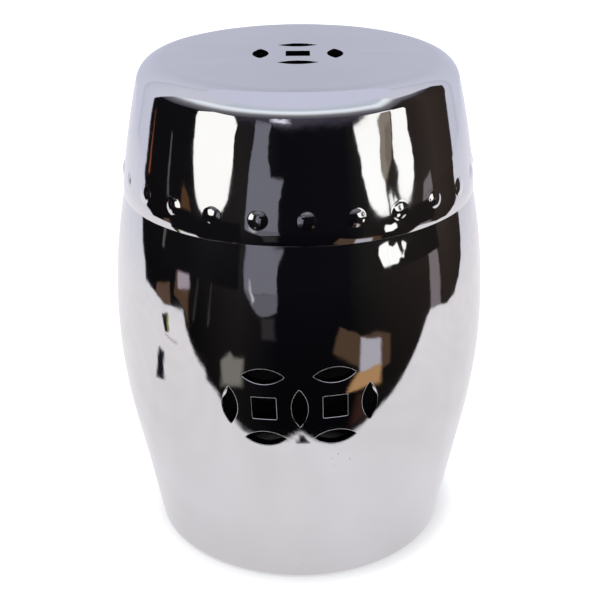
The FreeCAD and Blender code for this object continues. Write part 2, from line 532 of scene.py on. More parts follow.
def make_barrel(materials):
    rows = barrel_outline(ROW_STEP)
    shell, first = turned_shell(*turned_grid(rows))

    # The window in the grid round each panel, in rows and in columns each way of its middle
    low, high = (int(np.searchsorted(rows[:, 1], PANEL_HEIGHT + up))
                 for up in (-WINDOW_HALF_HEIGHT, WINDOW_HALF_HEIGHT))
    half = int(round(WINDOW_HALF_WIDTH / BELLY_RADIUS * ROUND_STEPS / PI2))
    panels = [0, ROUND_STEPS // 2]
    cells = window_cells(range(low, high), panels, half, ROUND_STEPS)
    shell.sweep(first, len(rows), ROUND_STEPS, 0, cells)
    tilt = turned_by(PANEL_TILT).T
    outlines = [(loop @ tilt + [0, PANEL_HEIGHT], ways @ tilt)
                for loop, ways in coin_loops([-PANEL_REACH, PANEL_REACH], PANEL_REACH)]
    wide = [(loop + ways * (HOLE_RIM + RIM_FLARE), ways) for loop, ways in outlines]
    columns = np.arange(-half, half + 1)
    arc = columns * PI2 / ROUND_STEPS * BELLY_RADIUS
    x, y = np.meshgrid(arc[1:-1], rows[low + 1:high, 1])
    interior = np.stack([x.ravel(), y.ravel()], 1)
    inner_loops = []
    for middle in panels:
        place = panel_point_maker(ANGLES[middle], rows)
        border, index = window_border(
            columns, arc, rows[:, 1], range(low, high + 1), middle, first, ROUND_STEPS)
        points, triangles = pierced_sheet(border, interior, wide, GRID_CLEARANCE)
        places, normals = place(points[len(border):])
        index += shell.points(leaned(places), normals)
        for a, b, c in triangles:
            shell.face((index[a], index[b], index[c]))
        cursor = len(border)
        for loop, ways in outlines:
            ring = index[cursor:cursor + len(loop)]
            cursor += len(loop)
            edge, edge_normals = place(loop)
            outwards = unit(place(loop + ways * HOLE_RIM)[0] - edge)
            ring = roll_rim(shell, ring, place, loop, ways, outwards, leaned)
            inside = leaned(edge - edge_normals * WALL)
            shell.bridge(ring, shell.points(inside, -outwards))
            inner_loops.append((middle, loop, shell.points(inside, -edge_normals)))

    # The inner side of the wall, bare clay, with the same holes
    step = 3 * ROW_STEP
    crease_angle = degrees_of(upper_centre, (CREASE_RADIUS, CREASE_HEIGHT))
    inner_rows = joined([
        arc_rows(upper_centre, upper_radius - WALL, crease_angle, 0, step),
        arc_rows(lower_centre, lower_radius - WALL, 0, degrees_of(lower_centre, flank_end), step),
        line_rows(flank_end + (np.array(lower_centre) - flank_end) * (WALL / lower_radius),
                  foot_top - [WALL, 0], step),
    ])
    inner_first = shell.add(leaned(turned_points(COARSE_ANGLES, inner_rows[:, None])[0]))
    high, low = (int(np.argmax(inner_rows[:, 1] < PANEL_HEIGHT + up))
                 for up in (WINDOW_HALF_HEIGHT, -WINDOW_HALF_HEIGHT))
    half = int(round(WINDOW_HALF_WIDTH / BELLY_RADIUS * COARSE_STEPS / PI2))
    middles = [0, COARSE_STEPS // 2]
    cells = window_cells(range(high, low), middles, half, COARSE_STEPS)
    shell.sweep(inner_first, len(inner_rows), COARSE_STEPS, 1, cells)
    columns = np.arange(-half, half + 1)
    arc = columns * PI2 / COARSE_STEPS * BELLY_RADIUS
    for panel, middle in zip(panels, middles):
        border, index = window_border(columns, arc, inner_rows[:, 1], range(low, high - 1, -1),
                                      middle, inner_first, COARSE_STEPS)
        pierced_back(shell, border, index, [own[1:] for own in inner_loops if own[0] == panel])
    # The joint with the foot and the joint inside the crease stay closed
    fan_ring(shell, first + (len(rows) - 1) * ROUND_STEPS, inner_first)
    fan_ring(shell, first, inner_first + (len(inner_rows) - 1) * COARSE_STEPS, True)
    return shell.make("glazed_barrel", materials)


def fan_ring(shell, fine, coarse, turned_over=False):
    # Joins a ring to one with fewer points
    ratio = ROUND_STEPS // COARSE_STEPS
    for j in range(COARSE_STEPS):
        run = [fine + (j * ratio + n) % ROUND_STEPS for n in range(ratio + 1)]
        corners = run + [coarse + (j + 1) % COARSE_STEPS, coarse + j]
        shell.face(tuple(corners[::-1] if turned_over else corners), 1)


def clay_rings(shell, inside, settle):
    # Rings of the bare inner side, from radii and heights
    return [shell.points(settle(turned_points(COARSE_ANGLES, np.array([[*spot, 0, 0]]))[0]))
            for spot in inside]


def make_band(materials):
    rows = band_outline(ROW_STEP)
    shell, first = turned_shell(*turned_grid(rows))
    shell.sweep(first, len(rows), ROUND_STEPS)
    inner_radius = rows[:, 0].max() - WALL
    ledge = SEAT_UNDERSIDE - WALL
    # Radii and heights under the seat's ledge and down the inside to the crease
    inside = [
        (SEAT_RADIUS, SEAT_UNDERSIDE),
        (SEAT_RADIUS - LEDGE_WIDTH, SEAT_UNDERSIDE),
        (SEAT_RADIUS - LEDGE_WIDTH, ledge),
        (FLAT_TOP_RADIUS + 4 * MM, ledge),
        (inner_radius - 3 * MM, ledge - 40 * MM),
        (CREASE_RADIUS - WALL - 1 * MM, CREASE_HEIGHT + 20 * MM),
        (CREASE_RADIUS - WALL - 3 * MM, CREASE_HEIGHT),
    ]
    rings = clay_rings(shell, inside, leaned)
    fan_ring(shell, first + (len(rows) - 1) * ROUND_STEPS, rings[0][0])
    for upper, lower in zip(rings, rings[1:]):
        shell.bridge(upper, lower, 1)
    fan_ring(shell, first, rings[-1][0], True)
    return shell.make("glazed_drum_band", materials)


def make_foot(materials):
    rows = foot_outline(ROW_STEP)
    places, normals = turned_grid(rows)
    # The waves die out towards the floor, so the foot stands flat
    level, level_normals = turned_grid(rows, strength=0.0)
    share = smooth(0, FOOT_HEIGHT, rows[:, 1])[:, None, None]
    places = level + (places - level) * share
    normals = unit(level_normals * (1 - share) + normals * share)
    shell, first = turned_shell(places, normals)
    shell.sweep(first, len(rows), ROUND_STEPS)
    rest_inner = rows[0, 0] - REST_RING_WIDTH
    opening = rest_inner - BASE_FLOOR_WIDTH
    # Radii and heights from the rest ring over the open floor to the joint with the barrel
    inside = [
        (rest_inner, 0.0),
        (rest_inner, BASE_LIFT),
        (opening, BASE_LIFT),
        (opening, BASE_LIFT + BASE_FLOOR),
        (foot_top[0] - 2 * WALL, BASE_LIFT + BASE_FLOOR),
        (foot_top[0] - WALL, FOOT_HEIGHT),
    ]
    rings = clay_rings(shell, inside, lambda ring: ring)
    fan_ring(shell, first, rings[0][0], True)
    for lower, upper in zip(rings, rings[1:]):
        shell.bridge(upper, lower, 1)
    fan_ring(shell, first + (len(rows) - 1) * ROUND_STEPS, rings[-1][0])
    return shell.make("glazed_foot", materials)


def make_seat(materials):
    # The pierced seat, level with the top of the band
    shell = Shell()
    outlines = coin_loops([0.0], SEAT_REACH)

    def place(points):
        spots = np.hstack([points, np.full((len(points), 1), STOOL_HEIGHT)])
        up = np.tile([0.0, 0.0, 1.0], (len(points), 1))
        return hand_shaped(spots, up)

    border = round_axis(SEAT_RADIUS, ANGLES)
    rings = []
    for radius in np.arange(SEAT_RADIUS - SEAT_STEP, 2 * MM, -SEAT_STEP):
        count = max(8, int(PI2 * radius / SEAT_SPACING))
        rings.append(round_axis(radius, np.arange(count) * PI2 / count))
    interior = np.vstack(rings)
    wide = [(loop + ways * (HOLE_RIM + RIM_FLARE), ways) for loop, ways in outlines]
    points, triangles = pierced_sheet(border, interior, wide, SEAT_CLEARANCE)
    first = shell.add(*place(points))
    for a, b, c in triangles:
        shell.face((first + a, first + b, first + c))
    cursor = first + len(border)
    under_loops = []
    for loop, ways in outlines:
        ring = list(range(cursor, cursor + len(loop)))
        cursor += len(loop)
        outwards = np.hstack([ways, np.zeros((len(ways), 1))])
        ring = roll_rim(shell, ring, place, loop, ways, outwards, lambda rim: rim)
        low = np.hstack([loop, np.full((len(loop), 1), SEAT_UNDERSIDE)])
        shell.bridge(ring, shell.points(low, -outwards))
        under_loops.append((loop, shell.points(low)))
    under = shell.points(np.hstack([border, np.full((len(border), 1), SEAT_UNDERSIDE)]))
    pierced_back(shell, border, under, under_loops)
    shell.bridge(under, list(range(first, first + len(border))), 1)
    return shell.make("glazed_seat", materials)


def make_nail(number, materials):
    # One round head whose glaze flares out into the band
    rows = band_outline(ROW_STEP)
    side = rows[rows[:, 1] > CREASE_HEIGHT + ROLL_HEIGHT]
    angle = NAIL_FIRST_ANGLE + number * PI2 / NAIL_COUNT
    radius, lean = (np.interp(NAIL_HEIGHT, side[:, 1], side[:, k]) for k in (0, 3))
    dome = (NAIL_RADIUS ** 2 + NAIL_RISE ** 2) / (2 * NAIL_RISE)
    outer = NAIL_RADIUS + NAIL_SKIRT
    shell = Shell()

    def height_at(distance):
        # A dome that runs out in a fillet of the same slope
        knee = NAIL_RADIUS - NAIL_KNEE
        core = np.sqrt(dome ** 2 - np.minimum(distance, knee) ** 2) - (dome - NAIL_RISE)
        knee_rise = math.sqrt(dome ** 2 - knee ** 2) - (dome - NAIL_RISE)
        slope = -knee / math.sqrt(dome ** 2 - knee ** 2)
        run = outer - knee
        t = np.clip((distance - knee) / run, 0, 1)
        skirt = (knee_rise * (1 + 2 * t) + slope * run * t) * (1 - t) ** 2
        return np.where(distance <= knee, core, skirt)

    def place(points):
        heights = NAIL_HEIGHT + points[:, 1] * math.sqrt(1 - lean ** 2)
        return hand_shaped(*turned_points(angle + points[:, 0] / radius, rows_at(heights, rows)))

    distances = np.concatenate([
        [0.0], np.linspace(0.6 * MM, NAIL_RADIUS - 1.2 * MM, 9),
        np.linspace(NAIL_RADIUS - 0.8 * MM, outer, 11)])
    around = np.arange(NAIL_SIDES) * PI2 / NAIL_SIDES
    compass = np.stack([np.cos(around), np.sin(around)], 1)
    places, normals = [], []
    for distance in distances:
        ways = compass if distance > 0 else compass[:1]
        base, up = place(ways * distance)
        radial = unit(place(ways * (distance + NAIL_STEP))[0] - base)
        ahead, behind = height_at(distance + NAIL_STEP), height_at(distance - NAIL_STEP)
        slope = (ahead - behind) / (2 * NAIL_STEP) if distance > 0 else 0.0
        places.append(leaned(base + up * (height_at(distance) + NAIL_LIFT)))
        normals.append(unit(up - radial * slope))
    # A buried edge closes the head under the band's surface
    base, up = place(compass * outer)
    places.append(leaned(base - up * BURIED))
    normals.append(None)
    first = shell.add(places[0], normals[0])
    ring = shell.points(places[1], normals[1])
    for j in range(NAIL_SIDES):
        shell.face((first, ring[j], ring[(j + 1) % NAIL_SIDES]))
    for ring_places, ring_normals in zip(places[2:], normals[2:]):
        outer_ring = shell.points(ring_places, ring_normals)
        shell.bridge(outer_ring, ring)
        ring = outer_ring
    centre, up = place(np.zeros((1, 2)))
    low = shell.add(leaned(centre - up * BURIED))
    for j in range(NAIL_SIDES):
        shell.face((low, ring[(j + 1) % NAIL_SIDES], ring[j]), 1)
    return shell.make("nail_%02d" % (number + 1), materials)


# Materials


def node_material(name):
    material = bpy.data.materials.new(name)
    material.use_nodes = True
    nodes = material.node_tree.nodes
    nodes.clear()
    return material, nodes


def add(nodes, kind, inputs=None, **settings):
    # A new node with the given values at its inputs
    node = nodes.new("ShaderNode" + kind)
    for key, value in settings.items():
        setattr(node, key, value)
    for key, value in (inputs or {}).items():
        node.inputs[key].default_value = value
    return node


def wire(source, output, target, into):
    source.id_data.links.new(source.outputs[output], target.inputs[into])


def placed(place, kind, inputs):
    # A texture node that reads the given place
    node = add(place.id_data.nodes, kind, inputs)
    place.id_data.links.new(place, node.inputs["Vector"])
    return node


def noise(place, scale, detail):
    return placed(place, "TexNoise", {"Scale": scale, "Detail": detail})


def mapped(source, output, low, high, to_low, to_high):
    # A value taken from one range to another
    node = add(source.id_data.nodes, "MapRange", {
        "From Min": low, "From Max": high, "To Min": to_low, "To Max": to_high})
    wire(source, output, node, "Value")
    return node


def two_tones(source, *stops):
    # A colour ramp between two stops of position and colour
    node = add(source.id_data.nodes, "ValToRGB")
    for element, stop in zip(node.color_ramp.elements, stops):
        element.position, element.color = stop
    wire(source, "Fac", node, "Fac")
    return node


def silver_glaze():
    material, nodes = node_material("silver_glaze")
    shader = add(nodes, "BsdfPrincipled", {"Metallic": 1.0})
    wire(shader, 0, add(nodes, "OutputMaterial"), "Surface")
    place = add(nodes, "TexCoord").outputs["Object"]

    # Slow tone drift of the fired metal, a touch warmer and darker where it is thin
    drift = noise(place, 9.0, 3.0)
    tone = two_tones(drift, (0.25, (0.655, 0.645, 0.64, 1)), (0.75, (0.70, 0.70, 0.705, 1)))

    # Tiny pits in the glaze, sparse and dark
    cells = placed(place, "TexVoronoi", {"Scale": 150.0})
    rare = noise(place, 22.0, 1.0)
    pit = add(nodes, "Math", operation="LESS_THAN")
    size = mapped(rare, "Fac", 0.60, 0.74, 0.0, 0.11)
    wire(cells, "Distance", pit, 0)
    wire(size, "Result", pit, 1)
    spotted = add(nodes, "Mix", data_type="RGBA")
    spotted.inputs["B"].default_value = (0.44, 0.42, 0.41, 1)
    wire(pit, 0, spotted, "Factor")
    wire(tone, "Color", spotted, "A")
    wire(spotted, "Result", shader, "Base Color")

    # Roughness: almost a mirror, with faint hazy patches
    haze = noise(place, 26.0, 5.0)
    rough = mapped(haze, "Fac", 0.35, 0.75, 0.028, 0.075)
    wire(rough, "Result", shader, "Roughness")

    # Relief of the glaze: soft orange peel and long faint runs down the wall
    peel = noise(place, 75.0, 2.0)
    stretch = placed(place, "Mapping", {"Scale": (1.0, 1.0, 0.12)})
    runs = noise(stretch.outputs["Vector"], 60.0, 2.0)
    relief = add(nodes, "Math", operation="ADD")
    wire(peel, "Fac", relief, 0)
    wire(runs, "Fac", relief, 1)
    bump = add(nodes, "Bump", {"Strength": 0.35, "Distance": 0.00012})
    wire(relief, 0, bump, "Height")
    wire(bump, "Normal", shader, "Normal")
    return material


def bare_clay():
    # The unglazed inside: dark smoked stoneware, dry and slightly gritty
    material, nodes = node_material("inner_clay")
    shader = add(nodes, "BsdfPrincipled")
    wire(shader, 0, add(nodes, "OutputMaterial"), "Surface")
    place = add(nodes, "TexCoord").outputs["Object"]
    grit = noise(place, 220.0, 6.0)
    tone = two_tones(grit, (0.3, (0.022, 0.019, 0.018, 1)), (0.7, (0.05, 0.045, 0.042, 1)))
    wire(tone, "Color", shader, "Base Color")
    rough = mapped(grit, "Fac", 0.0, 1.0, 0.75, 0.95)
    wire(rough, "Result", shader, "Roughness")
    bump = add(nodes, "Bump", {"Strength": 0.5, "Distance": 0.0004})
    wire(grit, "Fac", bump, "Height")
    wire(bump, "Normal", shader, "Normal")
    return material


silver = silver_glaze()
clay = bare_clay()

barrel = make_barrel([silver, clay])
band = make_band([silver, clay])
foot = make_foot([silver, clay])
seat = make_seat([silver, clay])
for piece, node in [(barrel, "barrel_wall"), (band, "drum_band"), (foot, "foot_ring"),
                    (seat, "seat_disc")]:
    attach(piece, "root")
    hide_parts(node)
for number in range(NAIL_COUNT):
    nail = make_nail(number, [silver, clay])
    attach(nail, "root")
    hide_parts("nail_head_%02d" % (number + 1))


# Studio. What the mirror sees is built as plain cards round the stool, which only
# glossy rays meet; the camera sees a plain white floor and background.


CARD_RADIUS = 2.5
ROOM_RADIUS = 2.6
ROOM_HEIGHT = 4.0
GROUND = -0.002


def seen_colour(*levels):
    # Light of a card that the silver shows at these levels, from 0 to 255
    share = np.array(levels) / 255
    linear = np.where(share <= 0.04045, share / 12.92, ((share + 0.055) / 1.055) ** 2.4)
    return linear / SILVER


def card_material():
    # Emission by the mesh's own colour, let through where its cover fades
    material, nodes = node_material("studio_card")
    light = add(nodes, "Emission")
    clear = add(nodes, "BsdfTransparent")
    mix = add(nodes, "MixShader")
    wire(add(nodes, "Attribute", attribute_name="card_light"), "Color", light, "Color")
    wire(add(nodes, "Attribute", attribute_name="card_cover"), "Fac", mix, "Fac")
    wire(clear, 0, mix, 1)
    wire(light, 0, mix, 2)
    wire(mix, 0, add(nodes, "OutputMaterial"), "Surface")
    return material


card_paint = card_material()


def stage_mesh(name, grid, light, cover):
    # A sheet of quads with a light and a cover at each point, met by glossy rays alone
    rows, columns = grid.shape[:2]
    faces = [(a, a + 1, a + columns + 1, a + columns)
             for i in range(rows - 1) for a in range(i * columns, (i + 1) * columns - 1)]
    mesh = bpy.data.meshes.new(name)
    mesh.from_pydata(grid.reshape(-1, 3).tolist(), [], faces)
    for label, kind, key, values in [("card_light", "FLOAT_VECTOR", "vector", light),
                                     ("card_cover", "FLOAT", "value", cover)]:
        attribute = mesh.attributes.new(label, kind, "POINT")
        attribute.data.foreach_set(key, values.reshape(-1).astype(np.float32))
    mesh.materials.append(card_paint)
    sheet = new_object(name, mesh)
    for sense in ("camera", "diffuse", "shadow", "transmission"):
        setattr(sheet, "visible_" + sense, False)


def ramp(value, stops):
    # Colours along a few stops, blended smoothly
    places = [stop[0] for stop in stops]
    colours = np.array([seen_colour(*stop[1]) for stop in stops])
    return np.stack([np.interp(value, places, colours[:, k]) for k in range(3)], -1)


def edge_distance(points, outline):
    # How far each point lies inside a closed outline; outside it is negative
    nearest = np.full(len(points), np.inf)
    for start, end in zip(outline, np.roll(outline, -1, 0)):
        way = end - start
        along = np.clip(((points - start) @ way) / (way @ way), 0, 1)
        nearest = np.minimum(nearest, np.linalg.norm(points - start - along[:, None] * way, axis=1))
    return np.where(inside_any(points, [outline]), nearest, -nearest)


def cut_card(name, outline, colour, soft, cell, bend, hole=None):
    # A card of one tone, cut to an outline with soft edges and bent into place
    outline = np.array(outline, float)
    low, high = outline.min(0) - soft, outline.max(0) + soft
    counts = np.maximum(((high - low) / cell).astype(int), 6) + 1
    x, y = np.meshgrid(*(np.linspace(low[k], high[k], counts[k]) for k in (0, 1)))
    points = np.stack([x.ravel(), y.ravel()], 1)
    cover = smooth(-soft, soft, edge_distance(points, outline))
    if hole:
        cover *= 1 - smooth(-soft, soft, edge_distance(points, np.array(hole)))
    place = bend(x, y)
    light = np.zeros(place.shape) + seen_colour(*colour)
    stage_mesh(name, place, light, cover.reshape(x.shape))


def wall_card(name, outline, colour, soft=0.006, radius=CARD_RADIUS, cell=0.012, hole=None):
    # An upright card on a round wall; outlines are given as angle in degrees and height
    outline, hole = ([(math.radians(turn) * radius, height) for turn, height in run or []]
                     for run in (outline, hole))
    cut_card(name, outline, colour, soft, cell,
                    lambda x, y: round_axis(radius, x / radius, y), hole)


cards_laid = [0]


def floor_card(name, outline, colour, soft=0.006, cell=0.012):
    # A card that lies on the ground, each one a little above the last
    cards_laid[0] += 1
    height = GROUND + 0.00005 * cards_laid[0]
    cut_card(name, outline, colour, soft, cell, lambda x, y: np.stack(
        [x, y, np.full(x.shape, height)], -1))


ROOM = [(-180, (13, 12, 14)), (-60, (15, 14, 16)), (-45, (26, 24, 24)), (-34, (30, 28, 29)),
        (-12, (12, 11, 16)), (28, (13, 12, 16)), (36, (23, 22, 22)), (80, (40, 34, 32)),
        (95, (50, 43, 40)), (120, (42, 36, 33)), (180, (40, 34, 32))]


def studio_round():
    # Behind and beside the stool a pale backdrop, in front of it the dark half of the room
    turns = np.linspace(-180, 180, 721)
    heights = np.concatenate([np.linspace(-0.02, 1.1, 50), np.linspace(1.12, ROOM_HEIGHT, 60)])
    a, h = np.meshgrid(turns, heights)
    place = round_axis(ROOM_RADIUS, np.radians(a), h)
    upper = ramp(h - 0.9 * smooth(55, 85, a), [
        (0.83, (8, 8, 9)), (0.9, (58, 55, 66)), (1.2, (92, 90, 96)), (1.5, (118, 118, 124)),
        (1.85, (205, 210, 216)), (2.1, (226, 232, 240)), (2.35, (218, 226, 236)),
        (2.6, (183, 190, 202)), (3.3, (182, 189, 201)), (4.0, (190, 193, 213)),
    ])
    room = np.maximum(ramp(a, ROOM), upper)
    pale = ramp(np.abs(a), [
        (90, (194, 195, 208)), (113, (192, 193, 207)), (126, (186, 187, 202)),
        (129, (176, 177, 193)), (133, (189, 191, 207)), (150, (182, 184, 200)),
        (180, (170, 172, 187)),
    ])
    left = np.interp(h, [0, 0.4, 1.3, 1.9, 2.35, 2.6], [-112.5, -112.5, -100.5, -92.5, -80, -60])
    right = np.interp(h, [0, 0.4, 1.2, 1.8, 2.15, 2.6], [117.5, 118, 122, 117.5, 107.5, 80])
    dark = smooth(-0.5, 0.5, a - left) * smooth(-0.5, 0.5, right - a)
    light = pale * (1 - dark[..., None]) + room * dark[..., None]
    stage_mesh("studio_round", place, light, np.ones(a.shape))


def studio_ceiling():
    ring = np.linspace(0.0, 2.7, 12)
    turns = np.radians(np.linspace(-180, 180, 49))
    r, a = np.meshgrid(ring, turns)
    place = round_axis(r, a, np.full(a.shape, ROOM_HEIGHT))
    light = np.zeros(place.shape) + seen_colour(192, 194, 213)
    stage_mesh("studio_ceiling", place, light, np.ones(a.shape))


# The white paper's outline on the floor: its front edge from left to right, then round the back
PAPER = np.array([
    (-0.995, -0.393), (-0.795, -0.368), (-0.61, -0.363), (-0.472, -0.371), (-0.414, -0.353),
    (-0.345, -0.361), (-0.18, -0.325), (-0.1, -0.33), (-0.039, -0.35), (0.004, -0.378),
    (0.046, -0.352), (0.1, -0.325), (0.171, -0.321), (0.23, -0.326), (0.292, -0.322),
    (0.384, -0.307), (0.49, -0.291), (0.642, -0.272), (0.742, -0.258), (0.872, -0.229),
    (0.933, -0.195), (0.928, -0.06), (0.885, 0.026), (0.901, 0.17), (0.99, 0.29),
    (1.129, 0.428), (1.47, 0.642), (1.927, 0.9), (3.2, 1.7), (3.2, 3.2), (-3.2, 3.2),
    (-3.2, 1.42), (-2.07, 0.87), (-1.778, 0.608), (-1.522, 0.457), (-1.277, 0.273),
    (-1.103, 0.177), (-1.089, 0.065), (-1.075, -0.014), (-0.989, -0.167), (-1.007, -0.242),
])


def studio_ground():
    # White paper under the stool; beyond its front and side edges the floor is dark
    near = np.arange(-1.3, 1.3001, 0.01)
    far = np.arange(1.33, 2.62, 0.03)
    spots = np.concatenate([-far[::-1], near, far])
    x, y = np.meshgrid(spots, spots)
    inside = edge_distance(np.stack([x.ravel(), y.ravel()], 1), PAPER).reshape(x.shape)
    paper = smooth(-0.007, 0.007, inside)
    distance = np.hypot(x, y)
    # The paper's light is painted darker close to the stool, as painted shade beside its foot, and
    # dimmer and bluer far away
    white = ramp(distance, [
        (0.13, (196, 194, 198)), (0.2, (207, 205, 209)), (0.8, (214, 211, 215)),
        (1.4, (203, 203, 212)), (2.6, (192, 193, 207)),
    ])
    turn = np.degrees(np.arctan2(x, -y))
    # The dark floor is darker towards the stool
    dark = ramp(turn, ROOM) * np.interp(distance, [0.4, 1.0, 2.0], [0.45, 0.7, 0.9])[..., None]
    # Painted light and shade of the paper's crumples, as a faint wavy change of brightness
    painted_crumple_shading = np.sin(23 * x + 5 * np.sin(9 * y)) * np.sin(17 * y + 4 * np.sin(11 * x))
    white = white * (1 + 0.022 * painted_crumple_shading)[..., None]
    light = dark * (1 - paper[..., None]) + white * paper[..., None]
    place = np.stack([x, y, np.full(x.shape, GROUND)], -1)
    stage_mesh("studio_ground", place, light, np.ones(x.shape))


studio_round()
studio_ceiling()
studio_ground()

WINDOW = (252, 252, 250)
wall_card("window_left", [
    (-70.5, 0.64), (-69.7, 0.536), (-68.8, 0.443), (-67, 0.283), (-65.2, 0.16), (-63.2, 0.106),
    (-60.5, 0.083), (-54.6, 0.09), (-48.5, 0.12), (-45.2, 0.16), (-42.6, 0.24), (-41.9, 0.34),
    (-41.2, 0.524), (-40.7, 0.705), (-39.6, 0.8), (-45.4, 0.88), (-56.8, 1.01), (-67.8, 0.76)],
    WINDOW)
wall_card("window_right_a", [
    (35.7, 0.8), (36.7, 0.62), (38.3, 0.547), (38.5, 0.442), (40.8, 0.325), (42.9, 0.202),
    (47.3, 0.112), (51.9, 0.055), (55.6, 0.045), (55.8, 0.103), (54.8, 0.208), (54, 0.324),
    (52.4, 0.377), (51.6, 0.482), (52.3, 0.628), (50.5, 0.752), (62.5, 0.86), (65.9, 0.95),
    (55.6, 0.93), (44.9, 0.83)], WINDOW)
wall_card("window_right_b", [
    (62.8, 0.9), (63.2, 0.698), (61.8, 0.508), (61.6, 0.427), (64.6, 0.306), (63.9, 0.229),
    (64.6, 0.139), (67.9, 0.096), (69.6, 0.078), (71.9, 0.1), (74.8, 0.198), (76.2, 0.294),
    (75.9, 0.393), (74.3, 0.525), (75.6, 0.7), (74, 0.9)], WINDOW)
wall_card("window_right_low", [
    (56.2, 0.19), (57, 0.07), (59.6, 0.05), (61.5, 0.1), (64.8, 0.03), (66.8, 0.05),
    (66, 0.12), (63.4, 0.1), (61.2, 0.17), (59.8, 0.12), (58.6, 0.2)], WINDOW)
wall_card("figure", [
    (50.8, 0.74), (52.6, 0.62), (51.9, 0.48), (52.7, 0.38), (54.3, 0.3), (57, 0.33),
    (59.5, 0.4), (61, 0.5), (61.5, 0.62), (62.8, 0.84)], (128, 120, 110), 0.02)
wall_card("figure_dark", [
    (56.5, 0.66), (56, 0.5), (57.5, 0.4), (60.5, 0.42), (61, 0.55), (60.8, 0.68)],
    (72, 66, 60), 0.025)
wall_card("curtain", [
    (-31, -0.02), (-31.4, 0.19), (-30.9, 0.38), (-30.4, 0.52), (-28.8, 0.655), (-27.1, 0.85),
    (-17.4, 0.85), (-19.2, 0.76), (-18.2, 0.6), (-16.2, 0.476), (-8.9, 0.434), (-10.4, 0.35),
    (-11.6, 0.289), (-12.5, 0.13), (-12.4, -0.02)], (104, 104, 114), 0.008)
floor_card("curtain_sheen", [
    (-1.29, -2.14), (-0.753, -1.504), (-0.552, -1.323), (-0.329, -1.55), (-0.53, -2.44)],
    (92, 91, 99), 0.02)
floor_card("curtain_tail", [
    (-0.505, -1.285), (-0.327, -1.391), (-0.217, -0.947), (-0.324, -0.895)], (44, 42, 43), 0.03)
wall_card("curtain_light", [(-28.8, -0.02), (-28.6, 0.13), (-27.4, 0.13), (-26.6, -0.02)],
          (178, 178, 184), 0.01)
floor_card("curtain_light_low", [
    (-1.2, -2.18), (-0.95, -1.86), (-0.8, -1.62), (-0.88, -1.9), (-1.1, -2.22)],
    (170, 170, 176), 0.02)
wall_card("orange_sliver", [(-108.5, -0.02), (-108, 0.36), (-107.6, 0.36), (-106.8, -0.02)],
          (126, 72, 50), 0.016)
wall_card("left_post", [(-88.8, -0.02), (-88.8, 0.42), (-87.4, 0.42), (-86.6, -0.02)],
          (78, 77, 76), 0.02)
wall_card("left_brown", [
    (-75.9, -0.02), (-75.9, 0.15), (-74.5, 0.18), (-69, 0.1), (-67, -0.02)],
    (76, 54, 38), 0.01)
floor_card("left_brown_floor", [
    (-2.42, -0.58), (-2.25, -0.98), (-1.3, -0.59), (-0.813, -0.406), (-1.008, -0.425),
    (-1.2, -0.31)], (76, 56, 42), 0.01)
floor_card("left_pale_floor", [
    (-1.954, -0.52), (-2.1, -0.86), (-1.402, -0.656), (-1.336, -0.414)], (150, 141, 150), 0.02)
floor_card("left_brown_corner", [
    (-1.246, -0.012), (-1.411, -0.249), (-1.017, -0.244), (-0.995, -0.167), (-1.09, -0.011)],
    (82, 64, 54), 0.008)
wall_card("right_strip", [(82.2, -0.02), (82.9, 0.1), (89.3, 0.13), (91, -0.02)],
          (112, 104, 108), 0.01)
floor_card("right_strip_floor", [
    (0.936, -0.195), (2.45, -0.34), (2.46, 0.03), (0.93, -0.06)], (114, 106, 110), 0.008)
floor_card("right_brown_far", [
    (0.43, -1.013), (0.515, -0.771), (0.64, -0.72), (0.687, -0.575), (0.489, -0.428),
    (0.4, -0.47), (0.264, -0.759)], (74, 57, 45), 0.008)
floor_card("right_grey", [
    (0.498, -0.764), (0.61, -0.628), (0.444, -0.474), (0.333, -0.542)], (163, 161, 170))
floor_card("right_tan", [
    (0.325, -0.552), (0.452, -0.482), (0.368, -0.403), (0.31, -0.451), (0.218, -0.484),
    (0.262, -0.514)], (162, 126, 88))
floor_card("right_umber", [
    (0.256, -0.444), (0.315, -0.385), (0.245, -0.335), (0.165, -0.345)], (48, 31, 28), 0.02)
floor_card("left_grey", [
    (-0.459, -0.511), (-0.471, -0.622), (-0.42, -0.6), (-0.368, -0.639), (-0.279, -0.477),
    (-0.351, -0.399)], (112, 109, 104), 0.015)
floor_card("case_near", [
    (-0.627, -0.06), (-0.598, -0.114), (-0.455, -0.091), (-0.458, -0.033)], (22, 22, 30))
floor_card("case_far", [
    (-0.893, -0.112), (-0.909, -0.19), (-0.756, -0.182), (-0.747, -0.138)], (24, 24, 30))
floor_card("case_edge", [
    (-0.9, -0.18), (-0.905, -0.194), (-0.765, -0.186), (-0.765, -0.174)], (132, 140, 48), 0.003)
floor_card("case_shadow", [
    (-0.74, -0.137), (-0.725, -0.137), (-0.665, -0.25), (-0.68, -0.252)], (150, 148, 150), 0.008)
floor_card("front_foot", [(-0.012, -0.342), (0.004, -0.372), (0.031, -0.342)], (20, 20, 24), 0.004)
for turn in (-60.6, -51.6):
    c, s = math.cos(math.radians(turn)), math.sin(math.radians(turn))
    near, far, aside = np.array([s, -c]), np.array([2.5 * s, -2.5 * c]), np.array([c, s])
    floor_card("line_floor", [
        near - 0.006 * aside, far - 0.008 * aside, far + 0.008 * aside, near + 0.006 * aside],
        (62, 61, 62))
    wall_card("line_wall", [(turn - 0.25, -0.02), (turn - 0.25, 0.07), (turn + 0.25, 0.07),
                            (turn + 0.25, -0.02)], (58, 57, 58))
wall_card("high_lamp", [
    (-19.4, 0.868), (-15, 0.885), (-10, 0.895), (-5, 0.88), (-10, 0.868), (-15, 0.86)],
    (238, 238, 255), 0.006, 2.45)
